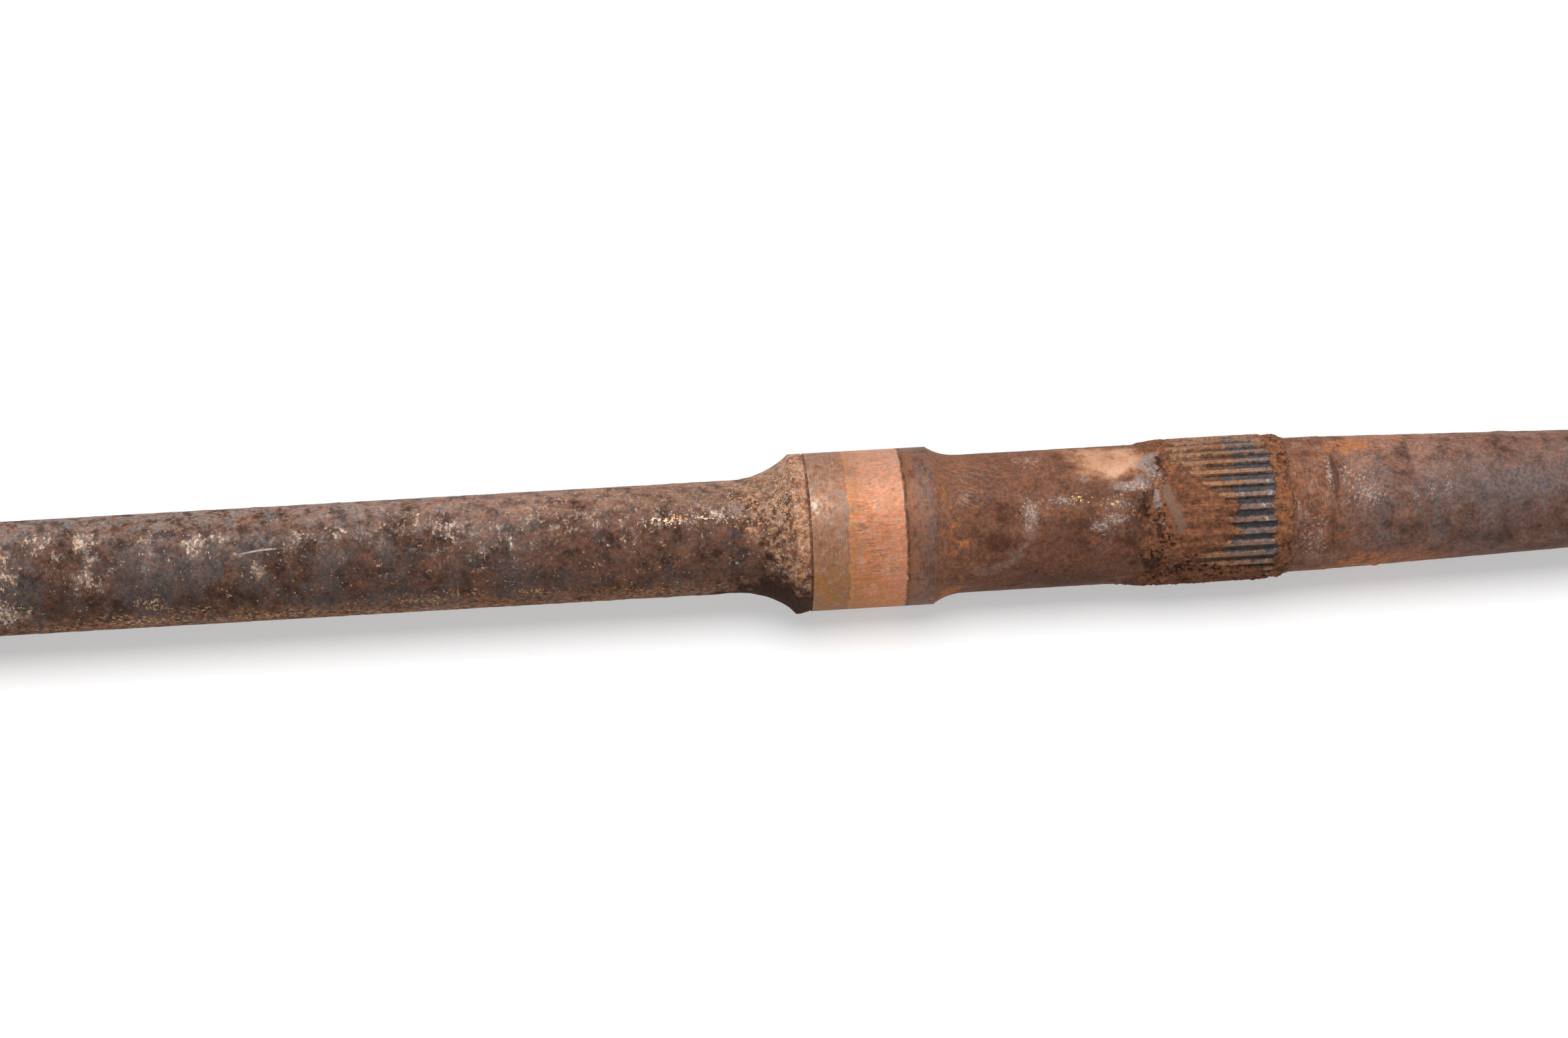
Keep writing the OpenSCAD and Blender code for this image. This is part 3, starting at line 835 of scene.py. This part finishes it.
wheel_mount = mounts["wheel_spline_right"]
wheel_length = wheel_mount["dims"]["length_mm"]
wheel_start = wheel_mount["pos_m"][0] / MM - wheel_length / 2
arm_start = spline_end + RELIEF_LENGTH
arm_end = arm_start + ARM_LENGTH
arm_r = RELIEF_R - ARM_STEP


def slotted_r(place_x, turn, out):
    """A chisel nick beside the relief: a short slot round the arm with a raised lip."""
    along, up, width, span, depth = SLOT
    off = (place_x - along) / width
    cut = math.exp(-off * off) - 0.5 * math.exp(-(off + 1.6) ** 2)
    return out - depth * cut * math.exp(-((turn - up) / span) ** 4)


for left in BOTH_ENDS:
    near_ring = ARM_RING if left else SEEN_RING
    relief = [(along, RELIEF_R) for along in spread(CAKED_END + 1, arm_start - 0.1, near_ring)]
    places = np.concatenate([spread(arm_start, SEEN_END, near_ring), spread(SEEN_END, arm_end, ARM_RING)[1:]])
    taper = [(along, arm_r + (ARM_END_R - arm_r) * (along - arm_start) / ARM_LENGTH) for along in places]
    straight = [(along, ARM_END_R) for along in spread(arm_end, wheel_start, 2 * ARM_RING)]
    turned(relief + taper, ROUND_STEPS, left, worked=slotted_r)
    turned(straight, ROUND_STEPS, left)
bridged(CAKED_END, CAKED_END + 1)

arm_coat = toned(tone, ARM_DARK, ARM_BROWN, ARM_LIGHT, 0.36, 0.65)
slate_lean = plus(worn(patches, clouds, 0.7), times(painted("bloom"), 0.05))
slate_cover = times(ease(slate_lean, 0.48, 0.58), minus(0.52, times(underside, 0.40)))
arm_coat = over(arm_coat, ARM_SLATE, slate_cover)
arm_coat = over(arm_coat, SHANK_RUST, ease(patches, 0.55, 0.70), 0.28)
arm_coat = over(arm_coat, ARM_DARK, ease(out_mm, *ARM_SHADE), 0.22)
near_arm = ease(out_mm, *ARM_RUSTY)
# Painted top light: the arm's upper face is laid paler, most near the spline.
arm_coat = over(arm_coat, ARM_TOP, times(topside, plus(0.25, times(near_arm, 0.45)), ease(tone, 0.28, 0.56)))
arm_coat = over(arm_coat, ARM_LOW, times(underside, near_arm, ease(patches, 0.34, 0.52)))
relief_coat = toned(worn(tone, lines_round, 0.4), RELIEF_DARK, RELIEF_RUST, RELIEF_LIGHT, 0.41, 0.60)
relief_coat = over(relief_coat, SHANK_RUST, ease(patches, 0.52, 0.62), 0.55)
arm_coat = over(relief_coat, arm_coat, ease(plus(out_mm, wander), arm_start - 2, arm_start + 12))
on_arm = times(ease(out_mm, spline_end, spline_end + 0.5), minus(1.0, crust_cover))
skin = over(skin, arm_coat, on_arm)
bloom_cover = ragged("bloom", tone, 3.0, 0.40, 1.20)
skin = over(skin, ARM_BLUE, times(bloom_cover, on_arm), 0.24)
skin = over(skin, PATCH_ORANGE, times(patch_cover, on_arm), 0.75)
skin = over(skin, CHALK_AND_GLINT, times(chalk_and_glint_cover, on_arm), 0.75)
# Dark stains on the arm, with painted shade inside the nick.
skin = over(skin, ARM_DARK, times(stain_and_shade_cover, on_arm), 0.85)
dull = worn(dull, 0.60, on_arm)
metal = worn(metal, 0.05, on_arm)
rise = worn(rise, times(tone, 0.40), on_arm)

dabs("patch", (262.4, 100, 7, 13, 1.0), (268, 114, 11, 14, 0.7), (264.6, -22, 8, 14, 0.9),
     (261, -38, 14, 16, 0.8), (282, 108, 22, 14, 0.35))
# On the arm the pale specks are partly painted glints, and the pale streak at the nick is a painted highlight
# on its lip.
dabs("chalk_and_glint", (264.3, 46, 5, 10, 0.9), (263, 60, 4, 10, 0.6), (259.2, 62, 1.0, 14, 0.95),
     (281, 46, 1.2, 8, 0.85), (285, 50, 1.2, 8, 0.8), (276.5, 44, 1.2, 6, 0.8), (249, 12, 3, 24, 0.65),
     (252.5, 8, 1.2, 26, 0.7), (246.5, 40, 1.2, 8, 0.7), (255.3, 66, 0.8, 16, 1.2))
# The dark streak at the nick is painted shade inside it; the other stains are real.
dabs("stain_and_shade", (256.7, 66, 0.8, 24, 1.5), (248, 20, 3, 10, 0.6))
dabs("bloom", (302, 48, 20, 24, 1.2), (284, 38, 9, 16, 0.8))

# Wheel ends
# Each end has a slimmer spline for the wheel hub, a thread for the castle nut, a split-pin hole and a lathe
# centre. They are outside the picture, so they are plain: clean turned forms under the same thin rust.
WHEEL_TEETH = 26
RUNOUT_WIDTH = 3.0
RUNOUT_R = 8.8
THREAD_PITCH = 1.5
THREAD_DEPTH = 0.92
THREAD_STEPS = 48
# One rib of the thread, as (share of the pitch, share of the depth)
THREAD_FORM = ((0, 1), (0.25, 1), (0.56, 0), (0.69, 0))
WELD_GAP = 2e-6
END_CHAMFER = 1.5
CENTRE_R = 3.5

END_DARK = (0.080, 0.048, 0.037)
END_STEEL = (0.160, 0.100, 0.078)
END_LIGHT = (0.250, 0.175, 0.145)

wheel_tip_r = wheel_mount["dims"]["r_mm"]
wheel_end = wheel_start + wheel_length
thread_r = mounts["wheel_nut_thread_right"]["dims"]["r_mm"]
axle_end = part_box("axle")[1].x / MM
thread_start = wheel_end + RUNOUT_WIDTH
turn_count = int((axle_end - thread_start) / THREAD_PITCH) - 1
thread_last = thread_start + turn_count * THREAD_PITCH
centre_depth = CENTRE_R / math.tan(math.radians(30))


def wheel_spline_r(place_x, turn, out):
    return toothed_r(abs(place_x), turn, WHEEL_TEETH, wheel_tip_r, wheel_start, wheel_end)


def thread_end_r(place_x, turn, out):
    """The thread starts out of its run-out groove and dies away before the end chamfer."""
    along = abs(place_x)
    root_r = thread_r - THREAD_DEPTH
    grown = eased(along, thread_start + 0.8 * THREAD_PITCH, thread_start + 1.6 * THREAD_PITCH)
    lead = 1 - eased(along, thread_last - 0.6 * THREAD_PITCH, thread_last + 0.5 * THREAD_PITCH)
    cut_r = root_r + (out - root_r) * lead
    return min(RUNOUT_R + (cut_r - RUNOUT_R) * grown, thread_r - END_CHAMFER + axle_end - along)


thread = []
for k in range(turn_count):
    begin = thread_start + k * THREAD_PITCH
    for share, drop in THREAD_FORM:
        thread.append((begin + share * THREAD_PITCH, thread_r - drop * THREAD_DEPTH))
thread.append((thread_last, thread_r - THREAD_DEPTH))
insets = np.array([0, 0.5, 1, 1.4, 2.5])
wheel_middle = 0.5 * (wheel_start + wheel_end)
spline_rings = np.concatenate([wheel_start + insets, [wheel_middle], wheel_end - insets[::-1]])
runout = [(wheel_end, RUNOUT_R), (thread_start - 0.4, RUNOUT_R)]
end_face = [(axle_end, thread_r - END_CHAMFER), (axle_end, CENTRE_R + 0.3), (axle_end - 0.2, CENTRE_R - 0.1),
            (axle_end - centre_depth, 0.0)]
for left in BOTH_ENDS:
    turned([(along, wheel_tip_r) for along in spline_rings], WHEEL_TEETH * STEPS_PER_TOOTH, left,
           first_turn=TOOTH_TURN if not left else 180 - TOOTH_TURN, worked=wheel_spline_r)
    turned(runout, THREAD_STEPS, left)
    turned(thread, THREAD_STEPS, left, climb=THREAD_PITCH, worked=thread_end_r)
    turned(end_face, THREAD_STEPS, left)

bmesh.ops.remove_doubles(axle, verts=axle.verts, dist=WELD_GAP)
bridged(wheel_start)
bridged(wheel_end)
for side in (1, -1):
    rims = [e for e in axle.edges if e.is_boundary and
            thread_start - 1 < side * e.verts[0].co.x / MM < thread_start + 2 * THREAD_PITCH]
    bmesh.ops.bridge_loops(axle, edges=rims)
    rims = [e for e in axle.edges if e.is_boundary and
            side * e.verts[0].co.x / MM > axle_end - 3 * THREAD_PITCH]
    bmesh.ops.bridge_loops(axle, edges=rims)

on_end = ease(plus(out_mm, wander), wheel_start - 34, wheel_start - 12)
end_coat = toned(tone, END_DARK, END_STEEL, END_LIGHT)
skin = over(skin, end_coat, on_end, 0.8)

# Fine rust grit covers all of it: darker and lighter grains, and stains of orange and of blue-grey.
GRIT_ORANGE = (1.38, 0.99, 0.64)
GRIT_BLUE = (0.70, 1.03, 1.27)
grit = mottle(0.9, 6, 0.74, shift=71)
stains = mottle(1.2, 5, 0.70, shift=73)
blooms = mottle(1.3, 5, 0.70, shift=79)
grit_depth = worn(worn(worn(0.58, 0.30, on_journal), 0.22, peach_cover), 0.20, scraped_cover)
skin = tinted(skin, plus(minus(1.0, times(grit_depth, 0.5)), times(ease(grit, 0.36, 0.64), grit_depth)), 1.0)
grit_tint = worn(worn(0.85, 0.25, peach_cover), 0.20, scraped_cover)
skin = tinted(skin, GRIT_ORANGE, times(ease(stains, 0.52, 0.65), grit_tint))
skin = tinted(skin, GRIT_BLUE, times(ease(blooms, 0.53, 0.65), grit_tint))
rise = plus(rise, times(grit, grit_depth, 0.10))

# Whole axle
# The strips are welded into the one forging that they are on the real shaft, pitted a little by rust.
# The split-pin holes are drilled, and every mark is dabbed on at its place.
# Depth of the pitting at some places along, and clods as (mm along, degrees up, half sizes, height)
PITTING = ((0, 0.10), (104, 0.10), (119, 0.06), (123, 0.0), (154, 0.0), (162, 0.06), (200, 0.09), (204, 0.0),
           (252, 0.0), (256, 0.07), (340, 0.07), (380, 0.03), (392, 0.0), (470, 0.0))
CLODS = ((120.6, -48, 2.6, 12, 0.5), (302.1, 129, 1.4, 9, 0.5), (289.6, -46, 1.0, 6, 0.4),
         (268.5, -47, 1.2, 6, 0.3), (98, -46, 5, 10, 0.15), (88, -47, 2, 8, 0.2))
PIN_HOLE_R = mounts["split_pin_hole_right"]["dims"]["r_mm"]
PIN_HOLE_STEPS = 40
SHARP_ANGLE = 42.0

pit_places, pit_depths = zip(*PITTING)
for v in axle.verts:
    along = v.co.x / MM
    out = math.hypot(v.co.y, v.co.z) / MM
    depth = np.interp(abs(along), pit_places, pit_depths)
    if depth == 0 or out < 1:
        continue
    turn = math.degrees(math.atan2(v.co.z, -v.co.y))
    lift = depth * noise.fractal(v.co / MM * 0.5, 0.6, 2.1, 4)
    for clod_along, clod_turn, length, span, height in CLODS:
        far = ((along - clod_along) / length) ** 2 + (((turn - clod_turn + 180) % 360 - 180) / span) ** 2
        if far < 1:
            lift += height * (1 - far) ** 2
    scale = (out + lift) / out
    v.co.y *= scale
    v.co.z *= scale
bmesh.ops.recalc_face_normals(axle, faces=axle.faces)

shape = bpy.data.meshes.new("axle")
axle.to_mesh(shape)
axle.free()
shaft = bpy.data.objects.new("axle_dressed", shape)
room = bpy.context.scene.collection.objects
room.link(shaft)

drill = bmesh.new()
for side in ("right", "left"):
    hole = mounts["split_pin_hole_" + side]
    placed = Matrix.Translation(hole["pos_m"]) @ Matrix.Rotation(math.pi / 2, 4, "X")
    bmesh.ops.create_cone(drill, cap_ends=True, segments=PIN_HOLE_STEPS, radius1=PIN_HOLE_R * MM,
                          radius2=PIN_HOLE_R * MM, depth=3 * thread_r * MM, matrix=placed)
drill_shape = bpy.data.meshes.new("split_pin_drill")
drill.to_mesh(drill_shape)
drill.free()
drill_bit = bpy.data.objects.new("split_pin_drill", drill_shape)
room.link(drill_bit)
cut = shaft.modifiers.new("split_pin_holes", "BOOLEAN")
cut.object = drill_bit
cut.operation = "DIFFERENCE"
cut.solver = "EXACT"
bpy.context.view_layer.objects.active = shaft
bpy.ops.object.modifier_apply(modifier=cut.name)
bpy.data.objects.remove(drill_bit)
bpy.data.meshes.remove(drill_shape)

shape = shaft.data
points = np.zeros(len(shape.vertices) * 3)
shape.vertices.foreach_get("co", points)
points = points.reshape(-1, 3) / MM
turns = np.degrees(np.arctan2(points[:, 2], -points[:, 1]))
for kind, spots in marks.items():
    cover = np.zeros(len(points))
    for along, turn, length, span, strength in spots:
        off_turn = (turns - turn + 180) % 360 - 180
        far = ((points[:, 0] - along) / length) ** 2 + (off_turn / span) ** 2
        cover = np.maximum(cover, strength * np.exp(-far))
    shape.attributes.new(kind, "FLOAT", "POINT").data.foreach_set("value", cover)
crust = np.zeros(len(points))
hollow = np.zeros(len(points))
for i in np.nonzero((abs(points[:, 0]) >= CAKED_START) & (abs(points[:, 0]) <= CAKED_END))[0]:
    crust[i], hollow[i] = caking(points[i, 0], turns[i])[1:]
shape.attributes.new("crust", "FLOAT", "POINT").data.foreach_set("value", crust)
shape.attributes.new("pits", "FLOAT", "POINT").data.foreach_set("value", hollow)

shape.shade_smooth()
shape.set_sharp_from_angle(angle=math.radians(SHARP_ANGLE))
shape.materials.clear()
shape.materials.append(rusted_steel)
bump = tree.nodes.new("ShaderNodeBump")
feed(bump.inputs["Strength"], 1.0)
feed(bump.inputs["Distance"], MM)
feed(bump.inputs["Height"], rise)
coat = {"Base Color": skin, "Roughness": dull, "Metallic": metal, "Normal": bump.outputs["Normal"],
        "Specular IOR Level": 0.10, "Sheen Weight": 0.04, "Sheen Roughness": 0.5,
        "Sheen Tint": (1.0, 0.78, 0.66)}
for name, value in coat.items():
    feed(tree.nodes["Principled BSDF"].inputs[name], value)
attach(shaft, "root")
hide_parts("axle")

# Floor, light and camera
# A plain pale floor carries the axle on its two journals under one broad overhead light.
# The camera stands where it stood for the photograph.
FLOOR_HALF = 4.0
FLOOR_SEEN = 0.97
FLOOR_BOUNCE = 0.55
FLOOR_GLOW = 0.45
LAMP_PLACE = (0.12, -0.12, 1.10)
LAMP_SIZE = 0.9
LAMP_POWER = 13.5
SKY_LEVEL = 0.34
IMAGE_WIDTH = 2368
CAMERA_FAR = 1.0
CAMERA_RISE = 40.5
CAMERA_TURN = -5.06
PIXEL_MM = 0.16752
AIM_ALONG = 118.13
AIM_UP = 3.72

floor_shape = bpy.data.meshes.new("floor")
floor_maker = bmesh.new()
bmesh.ops.create_grid(floor_maker, x_segments=1, y_segments=1, size=FLOOR_HALF,
                      matrix=Matrix.Translation((0, 0, -JOURNAL_R * MM)))
floor_maker.to_mesh(floor_shape)
floor_maker.free()
floor = bpy.data.objects.new("floor", floor_shape)
room.link(floor)
# It looks almost white, but throws only part of that light back up under the axle.
pale = bpy.data.materials.new("pale_floor")
pale.use_nodes = True
tree = pale.node_tree
tree.nodes.remove(tree.nodes["Principled BSDF"])
ray = tree.nodes.new("ShaderNodeLightPath")
seen = sums("MAXIMUM", ray.outputs["Is Camera Ray"], ray.outputs["Is Glossy Ray"])
matt = tree.nodes.new("ShaderNodeBsdfDiffuse")
feed(matt.inputs["Color"], worn(FLOOR_BOUNCE, FLOOR_SEEN, seen))
glow = tree.nodes.new("ShaderNodeEmission")
blend = tree.nodes.new("ShaderNodeMixShader")
feed(blend.inputs["Fac"], times(seen, FLOOR_GLOW))
feed(blend.inputs[1], matt.outputs["BSDF"])
feed(blend.inputs[2], glow.outputs["Emission"])
feed(tree.nodes["Material Output"].inputs["Surface"], blend.outputs["Shader"])
floor_shape.materials.append(pale)

sky = bpy.data.worlds.new("soft_room")
sky.use_nodes = True
backdrop = sky.node_tree.nodes["Background"]
feed(backdrop.inputs["Color"], (1.0, 1.0, 1.0))
feed(backdrop.inputs["Strength"], SKY_LEVEL)
bpy.context.scene.world = sky

lamp = bpy.data.lights.new("overhead_softbox", "AREA")
lamp.shape = "SQUARE"
lamp.size = LAMP_SIZE
lamp.energy = LAMP_POWER
softbox = bpy.data.objects.new("overhead_softbox", lamp)
softbox.location = LAMP_PLACE
to_lamp = Vector(LAMP_PLACE) - Vector((AIM_ALONG * MM, 0, 0))
softbox.rotation_euler = to_lamp.to_track_quat("Z", "Y").to_euler()
room.link(softbox)

rise_angle = math.radians(CAMERA_RISE)
turn_angle = math.radians(CAMERA_TURN)
to_camera = Vector((math.sin(turn_angle) * math.cos(rise_angle), -math.cos(turn_angle) * math.cos(rise_angle),
                    math.sin(rise_angle)))
facing = to_camera.to_track_quat("Z", "Y")
aim = Vector((AIM_ALONG * MM, 0, 0)) + facing @ Vector((0, AIM_UP * MM, 0))
lens = bpy.data.cameras.new("camera")
lens.sensor_width = 36.0
lens.sensor_fit = "HORIZONTAL"
lens.lens = lens.sensor_width * CAMERA_FAR / (PIXEL_MM * MM * IMAGE_WIDTH)
lens.clip_start = 0.01
camera = bpy.data.objects.new("camera", lens)
camera.location = aim + to_camera * CAMERA_FAR
camera.rotation_euler = facing.to_euler()
room.link(camera)
bpy.context.scene.camera = camera
bpy.context.scene.view_settings.view_transform = "Standard"
